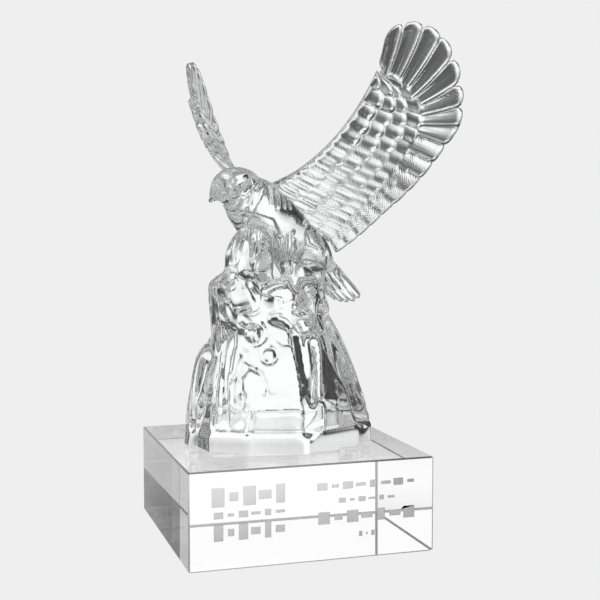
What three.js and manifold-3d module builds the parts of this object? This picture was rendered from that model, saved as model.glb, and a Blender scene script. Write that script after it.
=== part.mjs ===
// Eagle trophy in clear glass: an eagle with raised wings on a rock, glued to a square block.
// Millimetres, +Z up. The origin is the centre of the block's underside, and -Y is its engraved front.
import * as THREE from "three";
import { mergeVertices } from "three/addons/utils/BufferGeometryUtils.js";
import Module from "manifold-3d";

const wasm = await Module();
wasm.setup();

// The block: a cube slice of optical glass with small ground edges.
const BLOCK_SIDE = 130;
const BLOCK_HEIGHT = 50;
const BLOCK_EDGE = 0.8;

const STROKE_DEPTH = 0.5;
const STROKE_GAP = 1.6;
// Every third stroke is narrower by a share of its place, and every second one lower.
const SHORT_WIDTH = 0.25;
const SHORT_HEIGHT = 0.45;
// The engraved panel: two groups of rows, as centre, width, height and stroke count of each row.
const STROKE_ROWS = [
  { x: -34, z: 36.6, width: 40, height: 9.5, strokes: 5 },
  { x: -34, z: 27.6, width: 38, height: 3.2, strokes: 6 },
  { x: -34, z: 18.8, width: 38, height: 8.0, strokes: 6 },
  { x: 28, z: 38.2, width: 55, height: 3.6, strokes: 8 },
  { x: 28, z: 30.6, width: 32, height: 2.4, strokes: 6 },
  { x: 28, z: 22.0, width: 54, height: 6.2, strokes: 7 },
  { x: 28, z: 12.6, width: 10, height: 2.6, strokes: 3 },
];

// The bird's own frame: shoulder point, heading, and f forward, l to its left, u up.
const SHOULDER = new THREE.Vector3(-5.4, 1.7, 190);
const HEADING = THREE.MathUtils.degToRad(202.59);
const FORWARD = new THREE.Vector3(Math.cos(HEADING), Math.sin(HEADING), 0);
const LEFT = new THREE.Vector3(-Math.sin(HEADING), Math.cos(HEADING), 0);
const UP = new THREE.Vector3(0, 0, 1);

// The wings: the leading edge runs from the back up to the tip, between a quarter ellipse and its chord.
const WING_REACH = 89;
const WING_RISE = 80;
const WING_EDGE = 130.4;
const EDGE_FLATNESS = 0.3;
const WING_SWEEP = 12;
const WING_ROOT_FORWARD = 4;
const WING_PITCH = THREE.MathUtils.degToRad(38);
const RIGHT_BOW = 2;
const FEATHERS = 17;
const PRIMARIES = 8;
const FEATHER_STEPS = 4;
const COVERT_ROWS = 3;
const WRIST = 104;

// The fan of primaries: for each line between two of them its turn in degrees, its reach as a share of
// the fan's half axes, and the depth of the notch between their tips.
const FAN_TURNS = [-3, 6.6, 18.5, 31, 45.3, 62.4, 76.9, 88, 101.3];
const FAN_REACHES = [0.92, 0.985, 1.04, 1.042, 1.02, 1.01, 1.045, 1.09, 1.09];
const FAN_NOTCHES = [4.2, 4.1, 2.7, 1.6, 4.2, 3.8, 2.6, 0.3, 1.2];

// Its half axes about a middle on the edge, and the width and length by which its first feather steps in.
const TIP_FAN = { middle: 92, along: 39.5, across: 46.4, first: 4 };
// Behind the fan: the step from one feather line to the next along the edge, and the trailing edge's
// distance behind it, which grows from where it bends out towards the body.
const ARM_TIPS = { step: 9.1, depth: 49.7, bend: 44, growth: 0.052, power: 1.4 };
const NOTCH = 1.2;
// The ends of the coverts: a smaller fan of even turns in degrees, then the same along the arm.
const COVERT_FAN = { middle: 82, along: 21, across: 32, turn: 11 };
const ARM_COVERTS = { step: 8.6, rise: 1.4, bend: 60, growth: 0.0045 };
// Where the feather lines leave the leading edge: their steps in the fan and along the arm.
const FAN_ROOT_STEP = 2.6;
const ARM_ROOT_STEP = 10.4;
const LAST_ROOT = -2;

// Half thicknesses of the wing, from its rounded leading edge to the feather tips.
const EDGE_HALF = 1.2;
const SHOULDER_HALF = 3.6;
const WRIST_HALF = 2.6;
const FEATHER_HALF = 1.9;
const TIP_HALF = 1.0;
// The outermost feather thins to this share of the rest over its outer side.
const OUTER_SHARE = 0.3;
// Places as shares of the way from edge to covert ends, or from there to the tips.
const NOSE_SHARE = 0.12;
const ROUND_SHARE = 0.12;
// One row of coverts: its rise, the gap before the next, the depth of its scallops, the share by which
// the rise falls between two scales, and the step down behind it.
const SCALES = { rise: 1.1, gap: 0.03, scallop: 0.11, fall: 0.7, step: 0.035, drop: 0.5 };
// A flight feather stands up as a rod between two grooves.
const ROD_RISE = 0.5;
const GROOVE = 1.28;
const TIP_THINNING = 0.3;

// The rock: the corners of its foot, then how it narrows and shifts with height.
const ROCK_FOOT = [
  [-49.3, 14.6], [-43.1, -19.8], [-26.1, -29.5], [4, -39], [37.8, -22.3],
  [50.3, -11.6], [48, 22], [28, 42], [-8, 46], [-42, 38],
];
const ROCK_FOOT_BAND = 9;
const ROCK_BAND_STEP = 0.97;
const ROCK_FOOT_EDGE = 0.985;
const ROCK_LEVELS = [
  { z: 61, scale: 0.985, shift: 0 },
  { z: 74, scale: 0.93, shift: 0 },
  { z: 88, scale: 0.855, shift: -1 },
  { z: 101, scale: 0.76, shift: -1.5 },
  { z: 112, scale: 0.66, shift: -2 },
  { z: 122, scale: 0.605, shift: -5 },
  { z: 131, scale: 0.575, shift: -7 },
];
const ROCK_EDGE_STEPS = 4;
// Flutes down the rock: foot edge, place along it, depth, and the heights between which each is cut.
const ROCK_FLUTES = [
  { edge: 1, step: 1, depth: 3.5, low: 60, high: 132 },
  { edge: 1, step: 3, depth: 3.0, low: 60, high: 132 },
  { edge: 3, step: 1, depth: 7.0, low: 72, high: 132 },
  { edge: 4, step: 1, depth: 3.5, low: 60, high: 118 },
  { edge: 5, step: 2, depth: 2.0, low: 60, high: 125 },
  { edge: 6, step: 2, depth: 1.5, low: 60, high: 132 },
  { edge: 7, step: 2, depth: 1.5, low: 66, high: 132 },
  { edge: 8, step: 2, depth: 1.5, low: 60, high: 132 },
  { edge: 9, step: 2, depth: 2.5, low: 66, high: 132 },
];

// Points nearer than this are one, and a place on the leading edge stays this far inside its tip.
const SAME_PLACE = 1e-5;

const glass = (color, roughness) =>
  new THREE.MeshStandardMaterial({ color, roughness, metalness: 0, transparent: true, opacity: 0.35 });

function toWorld(f, l, u) {
  return SHOULDER.clone().addScaledVector(FORWARD, f).addScaledVector(LEFT, l).addScaledVector(UP, u);
}

// Volume inside a closed mesh, negative when its faces point inwards.
function signedVolume(points, faces) {
  const [a, b, c] = [new THREE.Vector3(), new THREE.Vector3(), new THREE.Vector3()];
  let volume = 0;
  for (let i = 0; i < faces.length; i += 3) {
    a.fromArray(points, faces[i] * 3);
    b.fromArray(points, faces[i + 1] * 3);
    c.fromArray(points, faces[i + 2] * 3);
    volume += a.dot(b.cross(c)) / 6;
  }
  return volume;
}

// A closed solid from points and triangles, turned outwards whichever way the faces were listed.
function solidFrom(points, faces) {
  const flat = Float32Array.from(points.flatMap((p) => [p.x, p.y, p.z]));
  if (signedVolume(flat, faces) < 0) faces.reverse();
  const geometry = new THREE.BufferGeometry();
  geometry.setAttribute("position", new THREE.BufferAttribute(flat, 3));
  geometry.setIndex(faces);
  return solidOf(geometry);
}

function solidOf(geometry) {
  geometry.deleteAttribute("normal");
  geometry.deleteAttribute("uv");
  const merged = mergeVertices(geometry, SAME_PLACE);
  const mesh = new wasm.Mesh({
    numProp: 3,
    vertProperties: Float32Array.from(merged.attributes.position.array),
    triVerts: Uint32Array.from(merged.index.array),
  });
  return new wasm.Manifold(mesh);
}

function meshOf(name, solid, material) {
  const result = solid.getMesh();
  const geometry = new THREE.BufferGeometry();
  geometry.setAttribute("position", new THREE.BufferAttribute(result.vertProperties, 3));
  geometry.setIndex(new THREE.BufferAttribute(result.triVerts, 1));
  geometry.computeVertexNormals();
  const mesh = new THREE.Mesh(geometry, material);
  mesh.name = name;
  return mesh;
}

// Rings of equal point counts, joined one to the next and closed at both ends by a fan.
function loft(rings) {
  const count = rings[0].length;
  const points = rings.flat();
  const faces = [];
  for (let r = 0; r + 1 < rings.length; r++) {
    for (let i = 0; i < count; i++) {
      const [a, b] = [r * count + i, r * count + ((i + 1) % count)];
      faces.push(a, b, b + count, a, b + count, a + count);
    }
  }
  const last = (rings.length - 1) * count;
  for (const [start, flip] of [[0, true], [last, false]]) {
    const centre = points.length;
    const middle = new THREE.Vector3();
    for (let i = 0; i < count; i++) middle.addScaledVector(points[start + i], 1 / count);
    points.push(middle);
    for (let i = 0; i < count; i++) {
      const [a, b] = [start + i, start + ((i + 1) % count)];
      faces.push(...(flip ? [centre, b, a] : [centre, a, b]));
    }
  }
  return solidFrom(points, faces);
}

// A sheet with thickness: point(i, j, face) gives both faces of a grid, and the four borders are closed.
function sheet(columns, lines, point) {
  const points = [];
  const faces = [];
  for (const face of [1, -1]) {
    for (let i = 0; i <= columns; i++) {
      for (let j = 0; j <= lines; j++) points.push(point(i, j, face));
    }
  }
  const at = (i, j, back) => (back ? (columns + 1) * (lines + 1) : 0) + i * (lines + 1) + j;
  const quad = (a, b, c, d) => faces.push(a, b, c, a, c, d);
  for (let i = 0; i < columns; i++) {
    for (let j = 0; j < lines; j++) {
      quad(at(i, j), at(i + 1, j), at(i + 1, j + 1), at(i, j + 1));
      quad(at(i, j + 1, 1), at(i + 1, j + 1, 1), at(i + 1, j, 1), at(i, j, 1));
    }
    quad(at(i, 0, 1), at(i + 1, 0, 1), at(i + 1, 0), at(i, 0));
    quad(at(i, lines), at(i + 1, lines), at(i + 1, lines, 1), at(i, lines, 1));
  }
  for (let j = 0; j < lines; j++) {
    quad(at(0, j), at(0, j + 1), at(0, j + 1, 1), at(0, j, 1));
    quad(at(columns, j, 1), at(columns, j + 1, 1), at(columns, j + 1), at(columns, j));
  }
  return solidFrom(points, faces);
}

// A limb of oval sections: each stop gives its centre, half width across the bird and half depth.
// Sections stand square to the line through the centres, in the bird's own upright plane.
function limb(stops, sides) {
  const rings = stops.map((stop, k) => {
    const before = stops[Math.max(k - 1, 0)];
    const after = stops[Math.min(k + 1, stops.length - 1)];
    const run = new THREE.Vector2(after.f - before.f, after.u - before.u).normalize();
    const ring = [];
    for (let i = 0; i < sides; i++) {
      const turn = (2 * Math.PI * i) / sides;
      const depth = stop.depth * Math.cos(turn);
      const width = stop.width * Math.sin(turn);
      ring.push(toWorld(stop.f - run.y * depth, stop.l + width, stop.u + run.x * depth));
    }
    return ring;
  });
  return loft(rings);
}

// The leading edge as a curve of a turn from 0 at the back to a right angle at the tip.
function edgeCurve(turn) {
  const chord = (EDGE_FLATNESS * turn) / (Math.PI / 2);
  const bow = 1 - EDGE_FLATNESS;
  return new THREE.Vector2(
    WING_REACH * (bow * Math.sin(turn) + chord),
    WING_RISE * (bow * (1 - Math.cos(turn)) + chord),
  );
}

// The same curve by its length, which is scaled to WING_EDGE, and carried straight on past the tip.
const EDGE_STEPS = 400;
const EDGE_TURN = Math.PI / 2 / EDGE_STEPS;
const edgeLengths = [0];
for (let i = 1; i <= EDGE_STEPS; i++) {
  const step = edgeCurve(i * EDGE_TURN).distanceTo(edgeCurve((i - 1) * EDGE_TURN));
  edgeLengths.push(edgeLengths[i - 1] + step);
}
const edgeScale = WING_EDGE / edgeLengths[EDGE_STEPS];

function leadingEdge(s) {
  const inside = THREE.MathUtils.clamp(s, 0, WING_EDGE - SAME_PLACE);
  const k = edgeLengths.findIndex((length) => length * edgeScale > inside);
  const share = (inside / edgeScale - edgeLengths[k - 1]) / (edgeLengths[k] - edgeLengths[k - 1]);
  const [from, to] = [edgeCurve((k - 1) * EDGE_TURN), edgeCurve(k * EDGE_TURN)];
  const along = to.clone().sub(from).normalize();
  const place = from.lerp(to, share).addScaledVector(along, s - inside);
  const bow = Math.sin((Math.PI * inside) / WING_EDGE);
  return { f: WING_ROOT_FORWARD - (WING_SWEEP * s) / WING_EDGE, l: place.x, u: place.y, along, bow };
}

// A point of the wing: s along the leading edge, t behind it, h off its middle surface. The right wing
// is bowed a little further forward than the left one.
function wingPoint(s, t, h, side) {
  const { f, l, u, along, bow } = leadingEdge(s);
  const [back, down] = [Math.cos(WING_PITCH), Math.sin(WING_PITCH)];
  return toWorld(
    f + (side < 0 ? RIGHT_BOW * bow : 0) - t * back - h * down,
    side * (l + t * down * along.y - h * back * along.y),
    u - t * down * along.x + h * back * along.x,
  );
}

// A list's value at place p, between its two nearest entries.
function between(list, p) {
  const k = Math.min(Math.floor(p), list.length - 2);
  return THREE.MathUtils.lerp(list[k], list[k + 1], p - k);
}

// Where feather line p, counted from the wing tip, leaves the edge, the coverts and the wing.
function featherLine(p) {
  const fan = Math.min(p, PRIMARIES);
  const rest = Math.max(p - PRIMARIES, 0);
  const root = new THREE.Vector2(Math.max(WRIST - FAN_ROOT_STEP * fan - ARM_ROOT_STEP * rest, LAST_ROOT), 0);
  const covertTurn = THREE.MathUtils.degToRad(COVERT_FAN.turn * fan);
  const covert = new THREE.Vector2(
    COVERT_FAN.middle + COVERT_FAN.along * Math.cos(covertTurn) - ARM_COVERTS.step * rest,
    COVERT_FAN.across * Math.sin(covertTurn) + ARM_COVERTS.rise * Math.min(rest, 2),
  );
  covert.y += ARM_COVERTS.growth * Math.max(0, ARM_COVERTS.bend - covert.x) ** 2;
  const turn = THREE.MathUtils.degToRad(between(FAN_TURNS, fan));
  const reach = between(FAN_REACHES, fan);
  const tip = new THREE.Vector2(
    TIP_FAN.middle + TIP_FAN.along * reach * Math.cos(turn) - ARM_TIPS.step * rest,
    TIP_FAN.across * reach * Math.sin(turn),
  );
  tip.x -= TIP_FAN.first * Math.max(0, 1 - p);
  const bend = Math.max(0, ARM_TIPS.bend - tip.x);
  if (rest > 0) tip.y = ARM_TIPS.depth + ARM_TIPS.growth * bend ** ARM_TIPS.power;
  return { root, covert, tip };
}

// 0 in the middle of a feather or scale and 1 in the valley between two.
function valley(p) {
  const across = 2 * (p - Math.floor(p)) - 1;
  return 1 - Math.sqrt(Math.max(0, 1 - across * across));
}

// The lines of one feather column, from leading edge to tip, as places and half thicknesses.
function wingColumn(p) {
  const { root, covert, tip } = featherLine(p);
  const outer = Math.min(1, p + OUTER_SHARE);
  const thick = THREE.MathUtils.lerp(WRIST_HALF, SHOULDER_HALF, p / FEATHERS);
  const lines = [
    { place: root.clone(), half: EDGE_HALF },
    { place: root.clone().lerp(covert, NOSE_SHARE), half: thick * outer },
  ];
  for (let row = 1; row <= COVERT_ROWS; row++) {
    const dip = valley(p + (row % 2 ? 0.5 : 0));
    const end = row / COVERT_ROWS - SCALES.gap - SCALES.scallop * dip;
    const body = THREE.MathUtils.lerp(thick, FEATHER_HALF, end);
    const high = body + SCALES.rise * (1 - SCALES.fall * dip);
    lines.push({ place: root.clone().lerp(covert, end), half: high * outer });
    lines.push({ place: root.clone().lerp(covert, end + SCALES.step), half: (body - SCALES.drop) * outer });
  }
  const dip = valley(p);
  const notch = p > PRIMARIES ? NOTCH : between(FAN_NOTCHES, p);
  const reach = 1 - (notch * dip) / tip.distanceTo(covert);
  const rod = FEATHER_HALF + ROD_RISE - GROOVE * dip;
  lines.push({ place: covert.clone().lerp(tip, reach - ROUND_SHARE), half: rod * outer });
  lines.push({ place: covert.clone().lerp(tip, reach), half: TIP_HALF * (1 - TIP_THINNING * dip) });
  return lines;
}

function wing(side) {
  const columns = [];
  for (let i = 0; i <= FEATHERS * FEATHER_STEPS; i++) columns.push(wingColumn(i / FEATHER_STEPS));
  return sheet(columns.length - 1, columns[0].length - 1, (i, j, face) => {
    const { place, half } = columns[i][j];
    return wingPoint(place.x, place.y, face * half, side);
  });
}

// The tail: a short fan of feathers with round ends, hanging back and down behind the legs.
const TAIL_ROOT = { f: -27, u: -34.5 };
const TAIL_END = { f: -57, u: -65.5 };
const TAIL_FEATHERS = 6;
const TAIL_STEPS = 3;
const TAIL_WIDTHS = { root: 7.5, end: 16.5, power: 0.8 };
const TAIL_HALVES = { root: 4.5, end: 1.4, sides: 0.35, groove: 0.9 };
const TAIL_ARCH = 2.5;
const TAIL_ROUND = 0.06;
const TAIL_NOTCH = 0.05;
const TAIL_LINES = [0, 0.45, 0.8, 1];

function tail() {
  const run = new THREE.Vector2(TAIL_END.f - TAIL_ROOT.f, TAIL_END.u - TAIL_ROOT.u);
  const square = new THREE.Vector2(run.y, -run.x).normalize();
  return sheet(TAIL_FEATHERS * TAIL_STEPS, TAIL_LINES.length - 1, (i, j, face) => {
    const share = TAIL_LINES[j];
    const p = i / TAIL_STEPS;
    const across = (2 * p) / TAIL_FEATHERS - 1;
    const dip = valley(p);
    const along = share * (1 - TAIL_ROUND * (across ** 2 + across ** 6) - TAIL_NOTCH * dip);
    const width = THREE.MathUtils.lerp(TAIL_WIDTHS.root, TAIL_WIDTHS.end, share ** TAIL_WIDTHS.power);
    const body = THREE.MathUtils.lerp(TAIL_HALVES.root, TAIL_HALVES.end, share);
    const thin = 1 - TAIL_HALVES.sides * across * across;
    const half = body * thin - TAIL_HALVES.groove * dip * Math.min(1, 3 * share);
    const off = face * half + TAIL_ARCH * across * across;
    return toWorld(
      TAIL_ROOT.f + run.x * along + square.x * off,
      across * width,
      TAIL_ROOT.u + run.y * along + square.y * off,
    );
  });
}

const BODY_STOPS = [
  { f: 22, u: -1.5, width: 9.5, depth: 10.5 },
  { f: 16.5, u: -5.5, width: 13, depth: 13.8 },
  { f: 9, u: -10.5, width: 17, depth: 16 },
  { f: 1, u: -16.5, width: 18.5, depth: 16 },
  { f: -8, u: -22, width: 17, depth: 14.5 },
  { f: -17, u: -27.5, width: 14.5, depth: 13 },
  { f: -26, u: -32.5, width: 13, depth: 12.5 },
  { f: -34, u: -38.5, width: 11, depth: 9.5 },
  { f: -41, u: -46, width: 8, depth: 5 },
];

const HEAD_STOPS = [
  { f: 12, u: -4, width: 9.5, depth: 10 },
  { f: 18, u: -1.2, width: 10.5, depth: 11.4 },
  { f: 24, u: -0.4, width: 10.2, depth: 11.1 },
  { f: 29, u: -1.2, width: 8.4, depth: 9.4 },
  { f: 33, u: -2.8, width: 5.8, depth: 6.8 },
  { f: 36, u: -4.7, width: 3.4, depth: 3.7 },
  { f: 38.2, u: -6.8, width: 1.7, depth: 1.8 },
  { f: 39.4, u: -8.6, width: 0.6, depth: 0.6 },
];

const BROW_STOPS = [
  { f: 21, l: 7.5, u: 6, width: 1.6, depth: 1.4 },
  { f: 26, l: 8, u: 5.2, width: 2.6, depth: 2.2 },
  { f: 31, l: 6, u: 2.6, width: 1.2, depth: 1 },
];

const LEG_STOPS = [
  { f: 0, u: -22, width: 7.5, depth: 9 },
  { f: -2, u: -32, width: 6.6, depth: 8 },
  { f: -4.5, u: -41, width: 5, depth: 6 },
  { f: -6, u: -48, width: 3.6, depth: 4 },
  { f: -6.5, u: -58, width: 4, depth: 4.2 },
];

const LEG_SPREAD = 9.5;
const TOE_LENGTH = 13;
const TOE_HEADINGS = [-44, 0, 44, 180];
// A toe's sections as share of its length, height and radius, and where all toes start.
const TOE_STOPS = [[0, -53, 2.8], [0.45, -51.8, 2.5], [0.8, -54.2, 2], [1, -59, 0.8]];
const FOOT_FORWARD = -6.5;
const TOE_SIDES = 5;

// A toe grips the rock: out from the foot, over a knuckle and down to its claw.
function toe(side, heading) {
  const angle = THREE.MathUtils.degToRad(heading);
  return loft(TOE_STOPS.map(([share, u, radius]) => {
    const out = share * TOE_LENGTH;
    const [f, l] = [FOOT_FORWARD + out * Math.cos(angle), side * LEG_SPREAD + out * Math.sin(angle)];
    const ring = [];
    for (let i = 0; i < TOE_SIDES; i++) {
      const turn = (2 * Math.PI * i) / TOE_SIDES;
      const [across, up] = [radius * Math.sin(turn), radius * Math.cos(turn)];
      ring.push(toWorld(f - across * Math.sin(angle), l + across * Math.cos(angle), u + up));
    }
    return ring;
  }));
}

// The main rock: a crag of flat faces between fluted corners, with a plain band at its foot.
function rockBlock() {
  const levels = [
    { z: BLOCK_HEIGHT, scale: ROCK_FOOT_EDGE, shift: 0 },
    { z: BLOCK_HEIGHT + 1, scale: 1, shift: 0 },
    { z: BLOCK_HEIGHT + ROCK_FOOT_BAND, scale: 1, shift: 0 },
    { z: BLOCK_HEIGHT + ROCK_FOOT_BAND + 1, scale: ROCK_BAND_STEP, shift: 0 },
    ...ROCK_LEVELS,
  ];
  return loft(levels.map(({ z, scale, shift }) => {
    const ring = [];
    ROCK_FOOT.forEach((corner, edge) => {
      const next = ROCK_FOOT[(edge + 1) % ROCK_FOOT.length];
      for (let step = 0; step < ROCK_EDGE_STEPS; step++) {
        const place = new THREE.Vector2(...corner).lerp(new THREE.Vector2(...next), step / ROCK_EDGE_STEPS);
        const flute = ROCK_FLUTES.find((row) => row.edge === edge && row.step === step);
        if (flute && z > flute.low && z < flute.high) place.setLength(place.length() - flute.depth);
        ring.push(new THREE.Vector3(place.x * scale + shift, place.y * scale, z));
      }
    });
    return ring;
  }));
}

// The roughness of a boulder: shares of its radius waved three and five times round it, the first of
// them turning slowly with height.
const ROUGH_WAVES = { three: 0.11, five: 0.05, twist: 0.09 };

// A boulder or spur of the rock: rough round sections up a line of stops in world millimetres.
function crag(stops, sides, turn) {
  return loft(stops.map(([x, y, z, along, across]) => {
    const ring = [];
    for (let i = 0; i < sides; i++) {
      const angle = turn + (2 * Math.PI * i) / sides;
      const three = ROUGH_WAVES.three * Math.cos(3 * angle + z * ROUGH_WAVES.twist);
      const rough = 1 + three + ROUGH_WAVES.five * Math.cos(5 * angle + 1);
      const [right, back] = [along * rough * Math.cos(angle), across * rough * Math.sin(angle)];
      ring.push(new THREE.Vector3(x + right, y + back, z));
    }
    return ring;
  }));
}

const LEFT_BUTTRESS = [
  [-42, 6, 50, 9, 11], [-41.5, 5, 74, 8, 10], [-39.5, 4, 93, 6.5, 8], [-38.5, 3.5, 101, 4.5, 5.5],
  [-37.5, 3.5, 105, 2, 2.5],
];
const LEFT_SHELF = [
  [-23, 2, 100, 13, 22], [-23.5, -1, 118, 12.8, 21], [-25.5, -3, 134, 13, 18], [-25, -3, 139, 12.5, 16],
  [-22, -3, 144, 9, 11],
];
const CHEST_SPUR = [
  [-21, -4, 128, 13, 15], [-21.5, -5, 142, 10.5, 12], [-20.8, -5, 154, 10, 11], [-18.3, -5, 162, 8.5, 10],
  [-14, -4, 169, 6, 8],
];
const RIGHT_KNOB = [
  [11, -10, 112, 12, 17], [11, -10, 125, 11, 17], [11.5, -9, 137, 10, 15], [12, -8, 145, 8.5, 11],
  [12, -7, 150, 5, 6],
];
const FOOT_LEDGE = [
  [0, 6, 118, 26, 24], [-1, 5, 128, 23.5, 22], [-2, 4, 134, 20.5, 20], [-2, 4, 137, 15, 16],
];
const FRONT_BOWL = [
  [-15, -35, 111, 10, 6], [-14, -34, 115, 21, 12], [-13, -33, 120, 24, 15.5], [-12, -32, 126, 20, 12],
  [-11, -31, 131, 10, 6],
];

// Stops set off to one side of the bird by l.
const aside = (stops, side, l) => stops.map((stop) => ({ ...stop, l: side * (l ?? stop.l) }));

function casting() {
  const bird = [limb(aside(BODY_STOPS, 1, 0), 18), limb(aside(HEAD_STOPS, 1, 0), 14), tail()];
  for (const side of [1, -1]) {
    bird.push(wing(side), limb(aside(BROW_STOPS, side), 6), limb(aside(LEG_STOPS, side, LEG_SPREAD), 10));
    for (const heading of TOE_HEADINGS) bird.push(toe(side, heading));
  }
  const rock = rockBlock()
    .add(crag(LEFT_BUTTRESS, 9, 0))
    .add(crag(LEFT_SHELF, 11, 0.2))
    .add(crag(RIGHT_KNOB, 11, 0.1))
    .add(crag(FOOT_LEDGE, 12, 0.3))
    .subtract(crag(FRONT_BOWL, 14, 0))
    .add(crag(CHEST_SPUR, 9, 0.1));
  return bird.reduce((whole, part) => whole.add(part), rock);
}

// The block: a square slab whose every edge is ground off by the same small amount.
function block() {
  const ring = (z, inset) => {
    const [outer, corner] = [BLOCK_SIDE / 2 - inset, BLOCK_SIDE / 2 - inset - BLOCK_EDGE];
    const points = [];
    for (let quarter = 0; quarter < 4; quarter++) {
      for (const [x, y] of [[outer, -corner], [outer, corner]]) {
        points.push(new THREE.Vector3(x, y, z).applyAxisAngle(UP, (quarter * Math.PI) / 2));
      }
    }
    return points.map((p) => new THREE.Vector3(Math.fround(p.x), Math.fround(p.y), z));
  };
  return loft([
    ring(0, BLOCK_EDGE), ring(BLOCK_EDGE, 0),
    ring(BLOCK_HEIGHT - BLOCK_EDGE, 0), ring(BLOCK_HEIGHT, BLOCK_EDGE),
  ]);
}

// The engraving: rows of plain upright and level strokes sunk into the front face.
function engraving() {
  const strokes = [];
  for (const row of STROKE_ROWS) {
    const pitch = row.width / row.strokes;
    for (let k = 0; k < row.strokes; k++) {
      const width = pitch - STROKE_GAP - (k % 3 === 1 ? pitch * SHORT_WIDTH : 0);
      const height = k % 2 ? row.height * SHORT_HEIGHT : row.height;
      const x = row.x - row.width / 2 + (k + 0.5) * pitch;
      const bar = new THREE.BoxGeometry(width, 2 * STROKE_DEPTH, height);
      bar.translate(x, -BLOCK_SIDE / 2, row.z);
      strokes.push(solidOf(bar));
    }
  }
  return strokes.reduce((whole, bar) => whole.add(bar));
}

const trophy = new THREE.Group();
trophy.add(meshOf("base_block", block().subtract(engraving()), glass(0xf6f9fa, 0.02)));
trophy.add(meshOf("eagle_on_rock", casting(), glass(0xf2f6f8, 0.04)));

export default trophy;
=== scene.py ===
# Eagle trophy: one clear glass casting of an eagle on a rock, glued to a polished, engraved glass block.
import math

import bmesh
import bpy
import numpy as np
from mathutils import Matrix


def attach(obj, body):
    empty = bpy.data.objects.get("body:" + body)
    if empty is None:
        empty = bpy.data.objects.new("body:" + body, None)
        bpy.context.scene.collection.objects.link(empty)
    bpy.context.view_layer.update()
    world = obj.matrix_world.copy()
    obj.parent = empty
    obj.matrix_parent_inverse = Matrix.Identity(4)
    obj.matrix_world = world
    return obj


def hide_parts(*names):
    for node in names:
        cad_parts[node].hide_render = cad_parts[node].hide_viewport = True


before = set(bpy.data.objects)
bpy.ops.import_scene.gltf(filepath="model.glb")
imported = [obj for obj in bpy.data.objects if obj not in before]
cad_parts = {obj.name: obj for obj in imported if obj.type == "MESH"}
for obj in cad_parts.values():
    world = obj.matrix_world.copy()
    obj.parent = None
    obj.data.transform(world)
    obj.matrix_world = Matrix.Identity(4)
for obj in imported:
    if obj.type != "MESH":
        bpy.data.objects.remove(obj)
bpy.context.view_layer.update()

scene = bpy.context.scene

# The studio
# Pale paper below and behind, as the camera sees it. The glass gathers another light: white, grey and
# black boards all round it, which draw the dark lines of clear glass.
CAMERA_PLACE = (-0.1746, -0.5965, 0.1730)
CAMERA_TURN = (math.radians(85.89), 0.0, math.radians(-17.41))
CAMERA_LENS = 67.69
GLASS_BOUNCES = 32
SHINE_BOUNCES = 16
BRIGHTEST_BOUNCE = 8.0

camera_data = bpy.data.cameras.new("camera")
camera_data.lens = CAMERA_LENS
camera_data.sensor_width = 36.0
camera_data.clip_start = 0.01
camera_data.clip_end = 50.0
camera = bpy.data.objects.new("camera", camera_data)
camera.location = CAMERA_PLACE
camera.rotation_euler = CAMERA_TURN
scene.collection.objects.link(camera)
scene.camera = camera
scene.view_settings.view_transform = "Standard"
scene.cycles.max_bounces = GLASS_BOUNCES
scene.cycles.transmission_bounces = GLASS_BOUNCES
scene.cycles.glossy_bounces = SHINE_BOUNCES
scene.cycles.transparent_max_bounces = SHINE_BOUNCES
scene.cycles.caustics_reflective = True
scene.cycles.caustics_refractive = True
scene.cycles.sample_clamp_indirect = BRIGHTEST_BOUNCE

# The boards round the trophy, in rows from below to overhead: the height of each row in degrees, then its
# grey at stops of azimuth, in degrees to the right of the camera's aim.
AIM = math.radians(17.4)
WINDOW_ROW = ((-180, 0.3), (-78, 0.3), (-66, 0.05), (-50, 0.05), (-47, 1.0), (-34, 1.0), (-30, 0.05),
              (-14, 0.15), (-9, 1.0), (4, 1.0), (8, 0.3), (15, 0.6), (32, 0.6), (42, 0.05), (60, 0.05),
              (74, 0.5), (180, 0.3))
LOW_LEFT = ((-180, 0.05), (-150, 0.05), (-138, 0.8), (-112, 0.8), (-100, 0.05), (-85, 0.4), (-70, 0.05),
            (-30, 0.03), (-14, 0.03))
LEFT_BOARDS = ((-180, 0.45), (-128, 0.45), (-118, 0.05), (-108, 0.5), (-78, 0.5), (-66, 0.05),
               (-60, 0.05))
RIGHT_BOARDS = ((58, 0.05), (72, 0.5), (104, 0.5), (112, 0.08), (120, 0.08), (130, 0.45), (180, 0.45))
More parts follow.
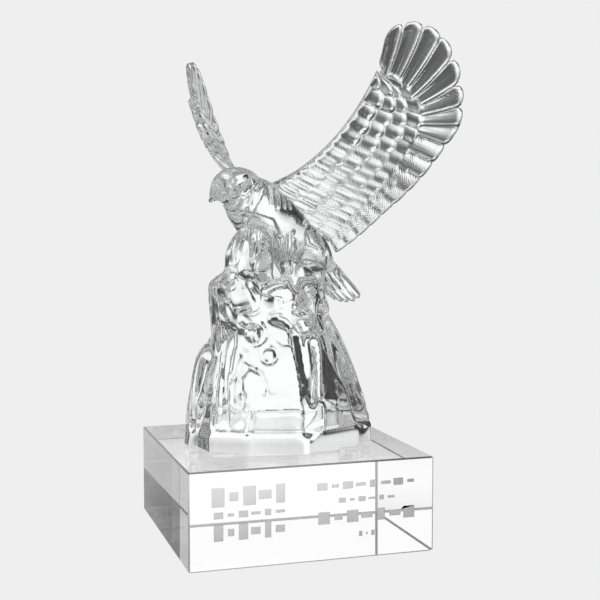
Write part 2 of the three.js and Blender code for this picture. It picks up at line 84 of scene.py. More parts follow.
STUDIO_ROWS = (
    (-78, ((-180, 0.9), (180, 0.9))),
    (-62, ((-180, 0.4), (-90, 0.4), (-60, 0.2), (-20, 0.4), (40, 0.4), (60, 0.7), (180, 0.7))),
    (-42, ((-180, 0.35), (-150, 0.35), (-140, 0.05), (-100, 0.05), (-85, 0.5), (-70, 0.05), (60, 0.05),
           (82, 0.5), (105, 0.5), (115, 0.05), (150, 0.05), (160, 0.35), (180, 0.35))),
    (-32, (*LOW_LEFT, (-8, 1.0), (38, 1.0), (46, 0.03), (66, 0.03), (76, 1.0), (105, 1.0), (112, 0.05),
           (122, 1.0), (160, 1.0), (170, 0.05), (180, 0.05))),
    (-20, (*LOW_LEFT, (-8, 1.05), (38, 1.05), (50, 0.03), (66, 0.03), (76, 1.05), (105, 1.05),
           (112, 0.05), (122, 1.05), (160, 1.05), (170, 0.05), (180, 0.05))),
    (-13, ((-180, 0.45), (-128, 0.45), (-118, 0.05), (-108, 0.5), (-78, 0.5), (-70, 0.05), (-52, 0.05),
           (-47, 1.0), (-34, 1.0), (-29, 0.05), (-24, 0.75), (-12, 0.75), (-8, 1.05), (4, 1.05), (9, 0.8),
           (42, 0.8), (54, 0.03), (68, 0.03), (76, 0.7), (104, 0.7), (112, 0.08), (122, 1.0), (160, 1.0),
           (170, 0.45), (180, 0.45))),
    (-6, (*LEFT_BOARDS, (-50, 0.5), (-42, 0.4), (-34, 0.03), (-26, 0.75), (-14, 1.0), (-6, 1.05),
          (1, 1.05), (4, 0.9), (8, 0.35), (14, 0.1), (24, 0.07), *RIGHT_BOARDS)),
    (0, (*LEFT_BOARDS, (-50, 0.4), (-42, 0.3), (-34, 0.03), (-24, 0.65), (-14, 1.0), (-6, 1.05), (0, 1.0),
         (4, 0.62), (8, 0.2), (14, 0.09), (24, 0.07), *RIGHT_BOARDS)),
    (5, (*LEFT_BOARDS, (-45, 0.3), (-32, 0.1), (-24, 0.6), (-14, 0.75), (-3, 0.65), (2, 0.45), (6, 0.14),
         (12, 0.07), (20, 0.05), *RIGHT_BOARDS)),
    (11, ((-180, 0.3), (-108, 0.3), (-78, 0.3), (-66, 0.05), (-50, 0.05), (-46, 0.4), (-36, 0.4),
          (-30, 0.05), (-22, 0.2), (-12, 0.45), (-3, 0.4), (3, 0.3), (8, 0.12), (15, 0.6), (32, 0.6),
          (42, 0.05), (60, 0.05), (74, 0.5), (180, 0.3))),
    (14.5, WINDOW_ROW),
    (18, WINDOW_ROW),
    (25, ((-180, 0.6), (-85, 0.6), (-70, 0.05), (70, 0.05), (85, 0.4), (180, 0.4))),
    (45, ((-180, 0.8), (-85, 0.8), (-70, 0.05), (70, 0.05), (85, 0.5), (180, 0.5))),
    (75, ((-180, 0.8), (180, 0.8))),
)
PAPER_GREY = 0.863


def worked(tree, operation, *inputs):
    """The result of one sum on numbers or on other results."""
    node = tree.nodes.new("ShaderNodeMath")
    node.operation = operation
    for place, value in enumerate(inputs):
        if isinstance(value, bpy.types.NodeSocket):
            tree.links.new(value, node.inputs[place])
        else:
            node.inputs[place].default_value = value
    return node.outputs[0]


def parted(tree, vector):
    """The three numbers of a vector."""
    node = tree.nodes.new("ShaderNodeSeparateXYZ")
    tree.links.new(vector, node.inputs[0])
    return node.outputs


def greys(tree, degrees, stops):
    """A grey read off stops of (degrees, grey), eased from one to the next."""
    low, high = stops[0][0], stops[-1][0]
    share = worked(tree, "DIVIDE", worked(tree, "SUBTRACT", degrees, low), high - low)
    ramp = tree.nodes.new("ShaderNodeValToRGB")
    ramp.color_ramp.interpolation = "EASE"
    spots = ramp.color_ramp.elements
    while len(spots) < len(stops):
        spots.new(0.5)
    for spot, (at, grey) in zip(spots, stops):
        spot.position = (at - low) / (high - low)
        spot.color = (grey, grey, grey, 1.0)
    tree.links.new(share, ramp.inputs[0])
    return ramp.outputs[0]


def turned(tree, x, y, x_share, y_share):
    """x times its share plus y times its own."""
    return worked(tree, "ADD", worked(tree, "MULTIPLY", x, x_share), worked(tree, "MULTIPLY", y, y_share))


def boards(tree):
    """The boards' grey in each direction: every row's greys by azimuth, times a share that eases from 1 at
    the row's own height to 0 at the rows under and over it."""
    x, y, z = parted(tree, tree.nodes.new("ShaderNodeTexCoord").outputs["Generated"])
    ahead = turned(tree, x, y, math.sin(AIM), math.cos(AIM))
    right = turned(tree, x, y, math.cos(AIM), -math.sin(AIM))
    height = worked(tree, "DEGREES", worked(tree, "ARCSINE", z))
    azimuth = worked(tree, "DEGREES", worked(tree, "ARCTAN2", right, ahead))
    heights = [middle for middle, stops in STUDIO_ROWS]
    light = 0.0
    for row, (middle, stops) in enumerate(STUDIO_ROWS):
        under = ((-90, 0.0), (heights[row - 1], 0.0)) if row > 0 else ((-90, 1.0),)
        over = ((heights[row + 1], 0.0), (90, 0.0)) if row < len(heights) - 1 else ((90, 1.0),)
        share = greys(tree, height, (*under, (middle, 1.0), *over))
        light = worked(tree, "ADD", light, worked(tree, "MULTIPLY", share, greys(tree, azimuth, stops)))
    return light


world = bpy.data.worlds.new("studio")
scene.world = world
world.use_nodes = True
tree = world.node_tree
tree.nodes.clear()
seen = tree.nodes.new("ShaderNodeLightPath").outputs["Is Camera Ray"]
gathered = worked(tree, "MULTIPLY", worked(tree, "SUBTRACT", 1.0, seen), boards(tree))
background = tree.nodes.new("ShaderNodeBackground")
shade = worked(tree, "ADD", worked(tree, "MULTIPLY", seen, PAPER_GREY), gathered)
tree.links.new(shade, background.inputs["Color"])
tree.links.new(background.outputs[0], tree.nodes.new("ShaderNodeOutputWorld").inputs["Surface"])

FLOOR_REACH = 8.0
floor_corners = [(x * FLOOR_REACH, y * FLOOR_REACH, 0) for x, y in ((-1, -1), (1, -1), (1, 1), (-1, 1))]
floor_mesh = bpy.data.meshes.new("floor")
floor_mesh.from_pydata(floor_corners, [], [(0, 1, 2, 3)])
floor = bpy.data.objects.new("floor", floor_mesh)
floor.visible_transmission = False
floor.visible_glossy = False
scene.collection.objects.link(floor)


def bare(name, kind):
    """A material of one shader alone, and that shader."""
    material = bpy.data.materials.new(name)
    material.use_nodes = True
    tree = material.node_tree
    tree.nodes.clear()
    shader = tree.nodes.new(kind)
    tree.links.new(shader.outputs[0], tree.nodes.new("ShaderNodeOutputMaterial").inputs["Surface"])
    return material, shader


paper, glow = bare("paper", "ShaderNodeEmission")
glow.inputs["Color"].default_value = (PAPER_GREY, PAPER_GREY, PAPER_GREY, 1.0)
floor_mesh.materials.append(paper)

# The wings
# Each wing is a thin curved blade of cast glass, moulded alike on both faces: rows of overlapping scales
# behind a round leading edge, then the flight feathers, side by side along the arm and fanned at the tip.

# The bird heads to the left of the engraved front. Its parts are worked out in millimetres forward, to its
# left and up from the shoulder point, then set in the trophy's frame.
MM = 0.001
SHOULDER = np.array([-5.4, 1.7, 190.0])
HEADING = math.radians(202.59)
FORWARD = np.array([math.cos(HEADING), math.sin(HEADING), 0.0])
LEFT = np.array([-math.sin(HEADING), math.cos(HEADING), 0.0])
UP = np.array([0.0, 0.0, 1.0])

WING_REACH = 89.0
WING_RISE = 80.0
WING_EDGE = 130.4
EDGE_FLATNESS = 0.3
EDGE_POINTS = 401
EDGE_STEP = 0.4
WING_SWEEP = 12.0
WING_ROOT_FORWARD = 4.0
WING_PITCH = math.radians(38.0)
FAR_BOW = 2.0

edge_turns = np.linspace(0.0, math.pi / 2, EDGE_POINTS)
edge_chord = EDGE_FLATNESS * edge_turns / (math.pi / 2)
edge_bow = 1.0 - EDGE_FLATNESS
edge_out = WING_REACH * (edge_bow * np.sin(edge_turns) + edge_chord)
edge_up = WING_RISE * (edge_bow * (1.0 - np.cos(edge_turns)) + edge_chord)
edge_run = np.concatenate([[0.0], np.cumsum(np.hypot(np.diff(edge_out), np.diff(edge_up)))])
edge_run *= WING_EDGE / edge_run[-1]


def in_bird(f, l, u):
    """Points at SHOULDER + f FORWARD + l LEFT + u UP, for arrays of one shape."""
    f, l, u = np.broadcast_arrays(f, l, u)
    return SHOULDER + f[..., None] * FORWARD + l[..., None] * LEFT + u[..., None] * UP


def wing_point(s, t, h, side):
    """A point s along the leading edge, t behind it and h off the blade's middle.

    The edge is a blend of a quarter ellipse and its chord, taken by length and straight past the tip.
    The chord of the wing drops behind it at WING_PITCH, square to the edge.
    """
    inside = np.clip(s, 0.0, WING_EDGE)
    out, up = np.interp(inside, edge_run, edge_out), np.interp(inside, edge_run, edge_up)
    after, before = inside + EDGE_STEP, inside - EDGE_STEP
    along_out = np.interp(after, edge_run, edge_out) - np.interp(before, edge_run, edge_out)
    along_up = np.interp(after, edge_run, edge_up) - np.interp(before, edge_run, edge_up)
    size = np.hypot(along_out, along_up)
    along_out, along_up = along_out / size, along_up / size
    out, up = out + along_out * (s - inside), up + along_up * (s - inside)
    back, down = math.cos(WING_PITCH), math.sin(WING_PITCH)
    f = WING_ROOT_FORWARD - WING_SWEEP * s / WING_EDGE - t * back - h * down
    if side < 0:
        f = f + FAR_BOW * np.sin(math.pi * inside / WING_EDGE)
    l = out + t * down * along_up - h * back * along_up
    u = up - t * down * along_out + h * back * along_out
    return in_bird(f, side * l, u)


# Feather lines run between two feathers. The fan of primaries has for each line its turn in degrees, its
# reach as a share of the fan's half axes, and the depth of the notch between the feathers' tips.
FEATHERS = 17
PRIMARIES = 8
FAN_TURNS = (-3.0, 6.6, 18.5, 31.0, 45.3, 62.4, 76.9, 88.0, 101.3)
FAN_REACHES = (0.92, 0.985, 1.04, 1.042, 1.02, 1.01, 1.045, 1.09, 1.09)
FAN_NOTCHES = (4.2, 4.1, 2.7, 1.6, 4.2, 3.8, 2.6, 0.3, 1.2)
# Where the lines leave the edge: the wrist, the steps from line to line in the fan and on the arm.
WRIST = 104.0
FAN_ROOT_STEP = 2.6
ARM_ROOT_STEP = 10.4
LAST_ROOT = -2.0
# Where they leave the coverts: on an ellipse, then in steps along the arm; the arm's coverts are deeper, and
# from a place on, at a rate, they widen towards the body.
COVERT_MIDDLE = 82.0
COVERT_ALONG = 21.0
COVERT_BACK = 32.0
COVERT_TURN = 11.0
ARM_COVERT_STEP = 8.6
ARM_COVERT_GAIN = 1.4
COVERT_WIDENS = (60.0, 0.0045)
# Where they end: on a larger ellipse, the first one short of it, then in steps along the arm, longer
# towards the body.
TIP_MIDDLE = 92.0
TIP_ALONG = 39.5
TIP_BACK = 46.4
FIRST_TIP_SHORT = 4.0
ARM_TIP_STEP = 9.1
ARM_TIP_BACK = 49.7
TIP_WIDENS = (44.0, 0.052, 1.4)


def feather_lines(p):
    """Where feather line p leaves the edge, the coverts and the wing: two fans round the wrist,
    ellipses of growing turn, carried on along the arm at even steps."""
    fan, rest = np.minimum(p, PRIMARIES), np.maximum(p - PRIMARIES, 0.0)
    root_s = np.maximum(WRIST - FAN_ROOT_STEP * fan - ARM_ROOT_STEP * rest, LAST_ROOT)
    turn = np.radians(COVERT_TURN * fan)
    covert_s = COVERT_MIDDLE + COVERT_ALONG * np.cos(turn) - ARM_COVERT_STEP * rest
    start, rate = COVERT_WIDENS
    covert_t = COVERT_BACK * np.sin(turn) + ARM_COVERT_GAIN * np.minimum(rest, 2.0)
    covert_t = covert_t + rate * np.maximum(0.0, start - covert_s) ** 2
    lines = np.arange(PRIMARIES + 1)
    turn, reach = np.radians(np.interp(fan, lines, FAN_TURNS)), np.interp(fan, lines, FAN_REACHES)
    tip_s = TIP_MIDDLE + TIP_ALONG * reach * np.cos(turn) - ARM_TIP_STEP * rest
    tip_s = tip_s - FIRST_TIP_SHORT * np.maximum(0.0, 1.0 - p)
    start, rate, power = TIP_WIDENS
    arm_t = ARM_TIP_BACK + rate * np.maximum(0.0, start - tip_s) ** power
    tip_t = np.where(rest > 0, arm_t, TIP_BACK * reach * np.sin(turn))
    pairs = ((root_s, 0.0 * p), (covert_s, covert_t), (tip_s, tip_t))
    return [np.stack(pair, axis=-1) for pair in pairs]


def valley(p):
    """0 in the middle of a feather and 1 between two: 1 - sqrt(1 - c c), c from -1 to 1 across it."""
    across = 2.0 * (p - np.floor(p)) - 1.0
    return 1.0 - np.sqrt(np.clip(1.0 - across * across, 0.0, 1.0))


def smooth_step(x):
    """0 below 0 and 1 above 1, and x x (3 - 2 x) between."""
    x = np.clip(x, 0.0, 1.0)
    return x * x * (3.0 - 2.0 * x)


def scatter(index, row):
    """A steady number from 0 to 1 for each scale: the fraction of a large multiple of a sine."""
    value = np.sin(12.9898 * index + 78.233 * row) * 43758.5453
    return value - np.floor(value)


# How many lines of points each feather, the round edge, the coverts, the flight feathers and the round tips
# have, and the shares of the wing that the round edge and the round tips take.
FEATHER_STEPS = 10
EDGE_LINES = 7
COVERT_LINES = 35
FLIGHT_LINES = 22
TIP_LINES = 6
EDGE_SHARE = 0.11
TIP_SHARE = 0.12


def wing_lines():
    """Shares w from the edge to the tips, 0 to 1 over the coverts and on to 2: even steps between a quarter
    turn's 1 - cosine over the round edge and a quarter turn's sine over the round tips."""
    return np.concatenate([
        EDGE_SHARE * (1.0 - np.cos(np.linspace(0.0, math.pi / 2, EDGE_LINES)[:-1])),
        np.linspace(EDGE_SHARE, 1.0, COVERT_LINES)[:-1],
        np.linspace(1.0, 2.0 - TIP_SHARE, FLIGHT_LINES)[:-1],
        2.0 - TIP_SHARE + TIP_SHARE * np.sin(np.linspace(0.0, math.pi / 2, TIP_LINES)),
    ])[None, :]


# Rows of scales: where each starts and ends, as shares of the way from edge to covert line and then on
# to the tips, the width of one scale, its rise, and the first feather line that the row reaches to.
SCALE_ROWS = (
    (-0.02, 0.33, 10.5, 1.6, 0.0), (0.26, 0.58, 10.0, 1.5, 0.0), (0.50, 0.82, 9.5, 1.1, 0.0),
    (0.74, 1.1, 9.6, 1.4, 0.0), (0.98, 1.45, 8.2, 0.8, 8.0),
)
SCALE_NARROWING = 0.35
SCALLOP = 0.16
SCALE_FALL = 0.3
ARM_FALL_LESS = 0.16
ARM_RISE_LESS = 0.5


def scales(p, w, place, arm):
    """How far the scales stand out: the highest of all rows' domes.

    A dome is its row's rise, times a crown sqrt(1 - c c) across the scale, times a slow rise and a steep
    fall along it. Its width, length and height differ a little from scale to scale.
    """
    relief = np.zeros((len(p), w.shape[1]))
    for row, (start, end, width, rise, first) in enumerate(SCALE_ROWS):
        line = place(np.full((len(p), 1), 0.5 * (start + end)))[:, 0]
        steps = np.linalg.norm(np.diff(line, axis=0), axis=1)
        run = np.concatenate([[0.0], np.cumsum(steps)])[:, None]
        count = run / (width * (1.0 - SCALE_NARROWING * p / FEATHERS)) + 0.5 * (row % 2)
        index = np.floor(count)
        c = 2.0 * (count - index) - 1.0
        crown = np.sqrt(1.0 - 0.96 * c * c)
        last = end + SCALLOP * (0.55 * crown - 0.35 + 0.5 * (scatter(index, row) - 0.5))
        along = (w - start) / (last - start)
        fall = smooth_step((1.0 - along) / (SCALE_FALL - ARM_FALL_LESS * arm))
        dome = np.clip(along, 0.0, 1.0) ** 0.7 * fall
        height = rise * crown * dome * (0.7 + 0.6 * scatter(index + 7.0, row)) * (p > first)
        relief = np.maximum(relief, height * (1.0 - ARM_RISE_LESS * arm))
    return relief


BARREL_RISE = 1.15
BARREL_SINK = 0.5
BARREL_TILT = 0.48
SHAFT_RISE = 0.35
SHAFT_PLACE = -0.15
SHAFT_WIDTH = 0.1
ARM_BARREL_LESS = 0.7


def barrels(p, w, across):
    """How far the flight feathers stand out: a round barrel by (1 - valley) to the power 0.7, tilted to one
    side like a roof tile, with a narrow bell for the shaft, and flatter on the arm than in the fan."""
    shaft = np.exp(-(((across - SHAFT_PLACE) / SHAFT_WIDTH) ** 2)) * smooth_step((1.9 - w) / 0.6)
    round_top = BARREL_RISE * (1.0 - valley(p)) ** 0.7 - BARREL_SINK
    barrel = round_top + BARREL_TILT * across + SHAFT_RISE * shaft
    on_arm = smooth_step((p - PRIMARIES - 0.5) / 3.0)
    return barrel * (1.0 - ARM_BARREL_LESS * on_arm) * smooth_step((w - 0.97) / 0.1)


# The barbs: their pitch and slant, the length of coverts and half width of a feather that they are laid out
# by, and their strength on scales, in the fan, more on the arm, and on the far wing.
BARB_PITCH = 1.45
BARB_SLANT = 0.9
COVERT_LENGTH = 30.0
FEATHER_WIDTH_HALF = 4.5
SCALE_BARBS = 0.2
FAN_BARBS = 0.15
ARM_BARBS = 0.3
FAR_BARBS = 0.4


def barb_pattern(p, w, across, length, side):
    """The phase of the barbs, in turns, which grows along the feather and away from its shaft, and their
    strength, steady for each feather."""
    run = w * COVERT_LENGTH + (w > 1.0) * (w - 1.0) * (length - COVERT_LENGTH)
    phase = (run + BARB_SLANT * FEATHER_WIDTH_HALF * np.abs(across)) / BARB_PITCH
    flying = smooth_step((w - 0.9) / 0.2)
    strength = SCALE_BARBS + (FAN_BARBS + ARM_BARBS * smooth_step((p - 7.0) / 3.0)) * flying
    strength = strength * (0.4 + 0.9 * scatter(np.floor(p), 9.0)) * (1.0 if side > 0 else FAR_BARBS)
    pattern = np.stack([phase, strength], axis=-1).reshape(-1, 2)
    return np.concatenate([pattern, pattern])


def grid_faces(columns, lines, start=0, flip=False):
    """The quads of a grid of points listed column by column."""
    i, j = np.meshgrid(np.arange(columns - 1), np.arange(lines - 1), indexing="ij")
    a = start + i * lines + j
    quads = np.stack([a, a + lines, a + lines + 1, a + 1], axis=-1).reshape(-1, 4)
    return quads[:, ::-1] if flip else quads


def rows_of(items, kind, width, number=float):
    """What each item of a mesh holds, one row of numbers for each."""
    values = np.empty(len(items) * width, dtype=number)
    items.foreach_get(kind, values)
    return values.reshape(-1, width)


def lay_pattern(mesh, pattern):
    """Gives each corner of the mesh the UV place of its point."""
    at = rows_of(mesh.loops, "vertex_index", 1, np.int32)
    mesh.uv_layers.new(name="pattern").data.foreach_set("uv", pattern[at].ravel())


def solid(name, points, faces, finish=0, pattern=None):
    """A closed mesh object from points in millimetres and lists of faces, turned outwards.

    finish is the material slot of its faces, pattern the UV place of each point.
    """
    mesh = bpy.data.meshes.new(name)
    mesh.from_pydata((points * MM).tolist(), [], [face for block in faces for face in block.tolist()])
    fans = [block[:, [0, k, k + 1]] for block in faces for k in range(1, block.shape[1] - 1)]
    corner = np.concatenate(fans)
    a, b, c = points[corner[:, 0]], points[corner[:, 1]], points[corner[:, 2]]
    if np.einsum("ij,ij->", a, np.cross(b, c)) < 0:
        mesh.flip_normals()
    mesh.polygons.foreach_set("material_index", np.full(len(mesh.polygons), finish, dtype=np.int32))
    lay_pattern(mesh, np.zeros((len(points), 2)) if pattern is None else pattern)
    thing = bpy.data.objects.new(name, mesh)
    scene.collection.objects.link(thing)
    return thing


def sheet_solid(name, front, back, finish=0, pattern=None):
    """Two grids of one shape, joined round their four borders into one closed sheet."""
    columns, lines = front.shape[:2]
    size = columns * lines
    points = np.concatenate([front.reshape(-1, 3), back.reshape(-1, 3)])
    index = np.arange(size).reshape(columns, lines)
    faces = [grid_faces(columns, lines), grid_faces(columns, lines, size, True)]
    for border, turn in ((index[:, 0], 1), (index[:, -1], -1), (index[0], -1), (index[-1], 1)):
        a, b = border[:-1], border[1:]
        wall = np.stack([a, a + size, b + size, b], axis=-1)
        faces.append(wall if turn > 0 else wall[:, ::-1])
    return solid(name, points, faces, finish, pattern)


# Half the blade's thickness, from the very edge back to the feathers, and the least; how much of it the
# relief takes; and the outline's step where the first feather leaves the coverts.
EDGE_HALF = 1.2
SHOULDER_HALF = 3.6
WRIST_HALF = 2.6
FEATHER_HALF = 1.9
THINNEST_HALF = 0.35
RELIEF_BED = 0.4
FAR_RELIEF = 0.55
WRIST_STEP = 2.2
FEATHERED = 1


def wing(side):
    """A wing's two faces over feather lines p and shares w: the middle sheet, moved out and in by half the
    blade's thickness, which is a round nose, a body that thins to the feathers, and the relief."""
    lines = np.arange(FEATHERS * FEATHER_STEPS + 1) / FEATHER_STEPS
    root, covert, tip = feather_lines(lines)
    p, w = lines[:, None], wing_lines()
    across = 2.0 * (p - np.floor(p)) - 1.0
    length = np.linalg.norm(tip - covert, axis=-1)[:, None]
    notch = np.interp(p, np.arange(PRIMARIES + 1), FAN_NOTCHES) - 0.5 * smooth_step((p - PRIMARIES) / 3.0)
    reach = 1.0 - notch * valley(p) / length

    def place(share):
        """From root to covert line up to share 1, then on to the tip, or short of it in a notch."""
        near = root[:, None] + (covert - root)[:, None] * np.minimum(share, 1.0)[..., None]
        return near + (tip - covert)[:, None] * (reach * np.maximum(share - 1.0, 0.0))[..., None]

    spot = place(np.broadcast_to(w, (len(p), w.shape[1])))
    inset = WRIST_STEP * np.clip(1.0 - p, 0.0, 1.0) * np.exp(-(((w - 1.1) / 0.12) ** 2))
    thick = WRIST_HALF + (SHOULDER_HALF - WRIST_HALF) * p / FEATHERS
    nose = np.sqrt(1.0 - (1.0 - np.clip(w / EDGE_SHARE, 0.0, 1.0)) ** 2)
    body = thick - RELIEF_BED + (FEATHER_HALF - thick) * smooth_step((w - EDGE_SHARE) / 0.95)
    body = EDGE_HALF + (body - EDGE_HALF) * nose
    relief = np.maximum(scales(p, w, place, smooth_step((p - 7.0) / 5.0)), barrels(p, w, across))
    relief = (1.0 if side > 0 else FAR_RELIEF) * relief * nose * smooth_step((w + 0.02) / 0.12)
    into_tip = np.clip((w - 2.0 + TIP_SHARE) / TIP_SHARE, 0.0, 1.0)
    close = np.sqrt(np.clip(1.0 - into_tip ** 2, 0.0, 1.0))
    half = (body + relief) * (0.3 + 0.7 * close) * np.minimum(1.0, p + 0.3)
    half = np.maximum(half, THINNEST_HALF)
    s, t = spot[..., 0], spot[..., 1] + inset
    faces = wing_point(s, t, half, side), wing_point(s, t, -half, side)
    return sheet_solid("wing", *faces, FEATHERED, barb_pattern(p, w, across, length, side))


# The body, head, tail, legs and toes
# The rest of the bird is one smooth mass: an oval trunk under the wings, a hooked head, streaked thighs,
# toes that grip the rock, and a short fan of tail feathers.
BODY_STOPS = np.array([
    (22, 0, -1.5, 9.5, 10.5), (16.5, 0, -5.5, 13, 13.8), (9, 0, -10.5, 17, 16), (1, 0, -16.5, 18.5, 16),
    (-8, 0, -22, 17, 14.5), (-17, 0, -27.5, 14.5, 13), (-26, 0, -32.5, 13, 12.5), (-34, 0, -38.5, 11, 9.5),
    (-41, 0, -46, 8, 5),
], dtype=float)
HEAD_STOPS = np.array([
    (12, 0, -4, 9.5, 10), (18, 0, -1.2, 10.5, 11.4), (24, 0, -0.4, 10.2, 11.1), (29, 0, -1.2, 8.4, 9.4),
    (33, 0, -2.8, 5.8, 6.8), (36, 0, -4.7, 3.4, 3.7), (38.2, 0, -6.8, 1.7, 1.8), (39.4, 0, -8.6, 0.6, 0.6),
], dtype=float)
LEG_SPREAD = 9.5
LEG_STOPS = np.array([
    (0, LEG_SPREAD, -22, 7.5, 9), (-2, LEG_SPREAD, -32, 6.6, 8), (-4.5, LEG_SPREAD, -41, 5, 6),
    (-6, LEG_SPREAD, -48, 3.6, 4), (-6.5, LEG_SPREAD, -58, 4, 4.2),
], dtype=float)
TOE_FOOT = -6.5
TOE_LENGTH = 13.0
TOE_HEADINGS = (-44, 0, 44, 180)
TOE_STOPS = np.array([(0, -53, 2.8), (0.45, -51.8, 2.5), (0.8, -54.2, 2.0), (1.0, -59, 0.8)])
BROW_STOPS = np.array([(21, 7.5, 6, 1.6, 1.4), (26, 8, 5.2, 2.6, 2.2), (31, 6, 2.6, 1.2, 1.0)])


def tube_solid(name, rings):
    """Rings of points joined one to the next, each end closed by a fan to its middle."""
    count, around = rings.shape[:2]
    size = count * around
    index = np.arange(size).reshape(count, around)
    index = np.concatenate([index, index[:, :1]], axis=1)
    quads = np.stack([index[:-1, :-1], index[:-1, 1:], index[1:, 1:], index[1:, :-1]], axis=-1)
    points = np.concatenate([rings.reshape(-1, 3), rings[0].mean(0)[None], rings[-1].mean(0)[None]])
    first = np.stack([np.full(around, size), index[0, 1:], index[0, :-1]], axis=-1)
    last = np.stack([np.full(around, size + 1), index[-1, :-1], index[-1, 1:]], axis=-1)
    return solid(name, points, [quads.reshape(-1, 4), first, last])


def eased(stops, count):
    """Stops refined to count rows by a Catmull-Rom curve: each row blends its four nearest stops."""
    place = np.linspace(0.0, len(stops) - 1.0, count)
    k = np.minimum(place.astype(int), len(stops) - 2)
    x = (place - k)[:, None]
    before, after = stops[np.maximum(k - 1, 0)], stops[np.minimum(k + 2, len(stops) - 1)]
    a, b = stops[k], stops[k + 1]
    return 0.5 * (2 * a + (b - before) * x + (2 * before - 5 * a + 4 * b - after) * x**2
                  + (3 * a - before - 3 * b + after) * x**3)


def limb(name, stops, count, around, side=1, relief=None):
    """Ovals along a line of stops (f, l, u, half width, half depth), square to the line.

    relief(share along, turn) is added outwards, in millimetres.
    """
    rows = eased(stops, count)
    run = np.gradient(rows[:, [0, 2]], axis=0)
    run /= np.linalg.norm(run, axis=1)[:, None]
    turn = np.linspace(0.0, 2 * math.pi, around, endpoint=False)[None, :]
    share = np.linspace(0.0, 1.0, count)[:, None]
    extra = relief(share, turn) if relief else 0.0
    depth = (rows[:, 4:5] + extra) * np.cos(turn)
    width = (rows[:, 3:4] + extra) * np.sin(turn)
    f = rows[:, 0:1] - run[:, 1:2] * depth
    u = rows[:, 2:3] + run[:, 0:1] * depth
    return tube_solid(name, in_bird(f, side * (rows[:, 1:2] + width), u))


STREAKS = 7.0
STREAK_TWIST = 3.0
STREAK_DEPTH = 0.45


def thigh_streaks(share, turn):
    """Long feathers down the thigh: ridges of a rising and falling turn, strongest in the middle."""
    return STREAK_DEPTH * np.sin(STREAKS * turn + STREAK_TWIST * share) * np.sin(math.pi * share)


def toe(side, heading):
    """Round slices along TOE_LENGTH of the share, height and half width of TOE_STOPS, turned to heading."""
    angle = math.radians(heading)
    rows = eased(TOE_STOPS, 12)
    turn = np.linspace(0.0, 2 * math.pi, 14, endpoint=False)[None, :]
    out = rows[:, 0:1] * TOE_LENGTH
    across = rows[:, 2:3] * np.sin(turn)
    f = TOE_FOOT + out * math.cos(angle) - across * math.sin(angle)
    l = side * LEG_SPREAD + out * math.sin(angle) + across * math.cos(angle)
    return tube_solid("toe", in_bird(f, l, rows[:, 1:2] + rows[:, 2:3] * np.cos(turn)))


TAIL_ROOT = np.array([-27.0, -34.5])
TAIL_END = np.array([-57.0, -65.5])
TAIL_FEATHERS = 6
TAIL_LINES = 30
TAIL_ROOT_WIDTH = 7.5
TAIL_END_WIDTH = 16.5
TAIL_ROOT_HALF = 4.5
TAIL_END_HALF = 1.4
TAIL_GROOVE = 0.9
TAIL_DROOP = 2.5


def tail():
    """A fan of feathers: width widens by the root of the length, ends are cut to a shallow round."""
    p = (np.arange(TAIL_FEATHERS * FEATHER_STEPS + 1) / FEATHER_STEPS)[:, None]
    share = np.linspace(0.0, 1.0, TAIL_LINES)[None, :]
    across = 2 * p / TAIL_FEATHERS - 1
    dip = valley(p)
    along = share * (1 - 0.06 * across**2 - 0.06 * across**6 - 0.05 * dip)
    width = TAIL_ROOT_WIDTH + (TAIL_END_WIDTH - TAIL_ROOT_WIDTH) * share**0.8
    body = TAIL_ROOT_HALF + (TAIL_END_HALF - TAIL_ROOT_HALF) * share
    end_round = np.sqrt(np.clip(1 - np.clip((share - 0.9) / 0.1, 0, 1) ** 2, 0.04, 1))
    half = (body * (1 - 0.35 * across**2) - TAIL_GROOVE * dip * np.minimum(1, 3 * share)) * end_round
    run = TAIL_END - TAIL_ROOT
    square = np.array([run[1], -run[0]]) / np.linalg.norm(run)
    faces = []
    for face in (1, -1):
        off = face * half + TAIL_DROOP * across**2
        f = TAIL_ROOT[0] + run[0] * along + square[0] * off
        u = TAIL_ROOT[1] + run[1] * along + square[1] * off
        faces.append(in_bird(f, across * width, u))
    return sheet_solid("tail", *faces)


def bake(thing):
    """Applies the object's modifiers to its mesh."""
    shaped = thing.evaluated_get(bpy.context.evaluated_depsgraph_get())
    mesh = bpy.data.meshes.new_from_object(shaped)
    thing.modifiers.clear()
    old = thing.data
    thing.data = mesh
    bpy.data.meshes.remove(old)


def combine(base, others, operation="UNION"):
    """Joins or cuts closed meshes in turn, keeping one closed mesh."""
    for other in others:
        step = base.modifiers.new("combine", "BOOLEAN")
        step.operation = operation
        step.solver = "MANIFOLD"
        step.object = other
        bake(base)
        bpy.data.objects.remove(other)
    return base


def remesh(thing, voxel):
    """An even mesh of small squares over the same surface."""
    step = thing.modifiers.new("even", "REMESH")
    step.mode = "VOXEL"
    step.voxel_size = voxel * MM
    bake(thing)


SOFTEN_PULLS = (0.5, -0.53)


def soften(thing, rounds):
    """Smoothing that keeps volume: each round moves every point towards its neighbours' mean by the first
    of SOFTEN_PULLS, then back by the second."""
    mesh = thing.data
    count = len(mesh.vertices)
    points = rows_of(mesh.vertices, "co", 3)
    a, b = rows_of(mesh.edges, "vertices", 2, np.int64).T
    neighbours = np.bincount(a, minlength=count) + np.bincount(b, minlength=count)
    for _ in range(rounds):
        for pull in SOFTEN_PULLS:
            mean = np.stack([
                np.bincount(a, points[b, axis], count) + np.bincount(b, points[a, axis], count)
                for axis in range(3)
            ], axis=1) / np.maximum(neighbours, 1)[:, None]
            points = points + pull * (mean - points)
    mesh.vertices.foreach_set("co", points.ravel())
    mesh.update()


